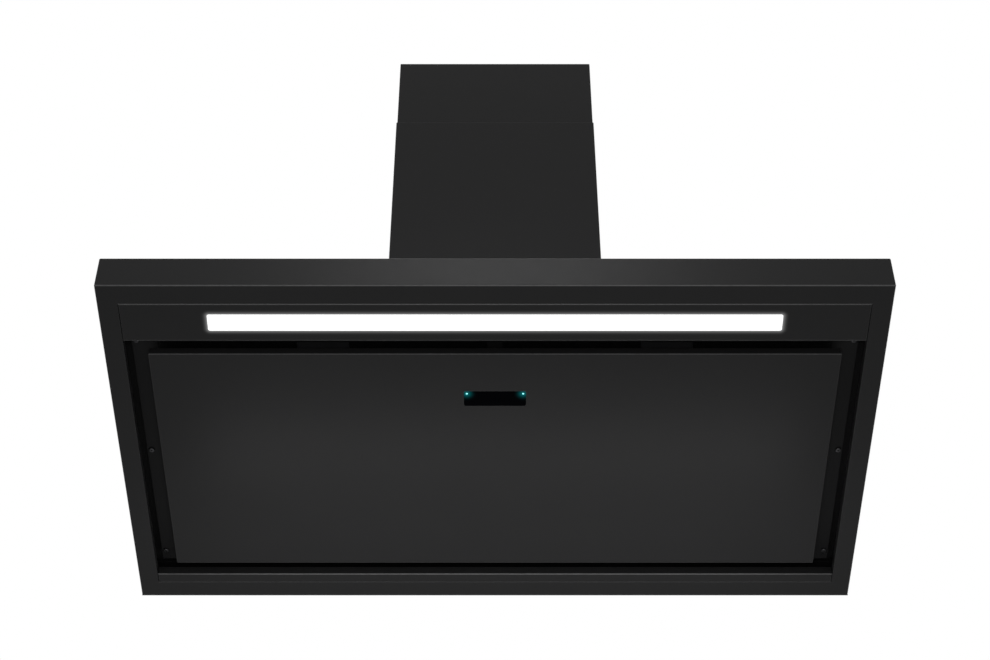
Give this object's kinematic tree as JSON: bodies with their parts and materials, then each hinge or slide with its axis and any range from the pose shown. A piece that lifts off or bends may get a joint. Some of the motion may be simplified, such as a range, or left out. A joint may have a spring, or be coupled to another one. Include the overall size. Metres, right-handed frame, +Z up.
{
  "type": "chimney range hood",
  "caption": "Wall-mounted T-shaped chimney range hood: flat box canopy with swing-down perimeter suction panel, light bar, filters, blower and telescoping chimney.",
  "frame": {"origin": "middle of the canopy's bottom rear edge, on the wall plane", "axes": "+X to the right seen from the room, +Y into the wall, +Z up"},
  "size_m": [0.9, 0.52, 0.806],
  "materials": {
    "black_coat": "fine matt black powder coat",
    "inner_black": "matt black powder coat on inner sheet",
    "galvanised": "galvanised sheet",
    "opal_lens": "opal, lit from behind",
    "channel_aluminium": "mill finish",
    "circuit_board": "solder mask",
    "white_case": "moulded",
    "moulded_black": "fine grain",
    "zinc_steel": "zinc plated",
    "black_screw": "black zinc",
    "magnet": "sintered",
    "black_glass": "gloss black",
    "status_lamp": "lit teal light guide",
    "filter_black": "matt black coated aluminium",
    "filter_mesh": "dark expanded mesh",
    "impeller_plastic": "glass-filled",
    "stator_steel": "lacquered laminations",
    "cast_shield": "die cast",
    "bush_rubber": "plain",
    "scroll_plastic": "moulded"
  },
  "bodies": {
    "hood": {"canopy_shell": "black_coat", "wall_plate": "inner_black", "rear_rail": "black_coat", "front_light_panel": "black_coat", "light_diffuser": "opal_lens", "light_channel": "channel_aluminium", "led_strip": "circuit_board", "led_driver": "white_case", "control_box": "moulded_black", "control_lid": "moulded_black", "control_board": "circuit_board", "intake_frame": "inner_black", "frame_posts": "zinc_steel", "frame_screws": "black_screw", "hinge_pins": "zinc_steel", "catch_magnets": "magnet", "hinge_bracket_left": "inner_black", "hinge_bracket_right": "inner_black", "filter_frame_left": "filter_black", "filter_frame_right": "filter_black", "filter_mesh_left": "filter_mesh", "filter_mesh_right": "filter_mesh", "motor_box": "galvanised", "box_back": "galvanised", "box_lid": "galvanised", "motor_box_screws": "zinc_steel", "motor_stator": "stator_steel", "motor_shields": "cast_shield", "motor_spider": "galvanised", "motor_bushes": "bush_rubber", "motor_screws": "zinc_steel", "motor_capacitor": "white_case", "scroll_half_left": "scroll_plastic", "scroll_half_right": "scroll_plastic", "outlet_collar": "moulded_black", "collar_screws": "zinc_steel", "flap_pins": "zinc_steel", "cable_gland": "moulded_black", "lower_chimney": "black_coat", "chimney_foot_screws": "zinc_steel"},
    "suction_panel": {"suction_panel": "black_coat", "strike_plates": "zinc_steel", "sensor_glass": "black_glass", "status_lamps": "status_lamp", "sensor_housing": "moulded_black", "sensor_board": "circuit_board"},
    "fan_wheel": {"impeller": "impeller_plastic", "motor_shaft": "zinc_steel"},
    "latch_left": {"filter_latch_left": "moulded_black"},
    "latch_right": {"filter_latch_right": "moulded_black"},
    "flap_front": {"flap_front": "moulded_black"},
    "flap_rear": {"flap_rear": "moulded_black"},
    "upper_chimney": {"upper_chimney": "black_coat", "chimney_bracket": "galvanised", "chimney_screws": "black_screw"}
  },
  "joints": [
    {"name": "panel_hinge", "type": "hinge", "parent": "hood", "child": "suction_panel", "pos_m": [0, -0.068, 0.014], "axis": [1, 0, 0], "range_deg": [0, 90]},
    {"name": "fan_spin", "type": "hinge", "parent": "hood", "child": "fan_wheel", "pos_m": [0, -0.1045, 0.182], "axis": [1, 0, 0], "continuous": true},
    {"name": "latch_left_slide", "type": "slide", "parent": "hood", "child": "latch_left", "axis": [0, 1, 0], "range_m": [0, 0.006], "stiffness_N_per_m": 400, "springref_m": -0.01},
    {"name": "latch_right_slide", "type": "slide", "parent": "hood", "child": "latch_right", "axis": [0, 1, 0], "range_m": [0, 0.006], "stiffness_N_per_m": 400, "springref_m": -0.01},
    {"name": "flap_front_hinge", "type": "hinge", "parent": "hood", "child": "flap_front", "pos_m": [0, -0.15115, 0.3], "axis": [-1, 0, 0], "range_deg": [0, 80]},
    {"name": "flap_rear_hinge", "type": "hinge", "parent": "hood", "child": "flap_rear", "pos_m": [0, -0.14115, 0.3], "axis": [1, 0, 0], "range_deg": [0, 80]},
    {"name": "upper_chimney_slide", "type": "slide", "parent": "hood", "child": "upper_chimney", "axis": [0, 0, 1], "range_m": [-0.11, 0.19]}
  ]
}
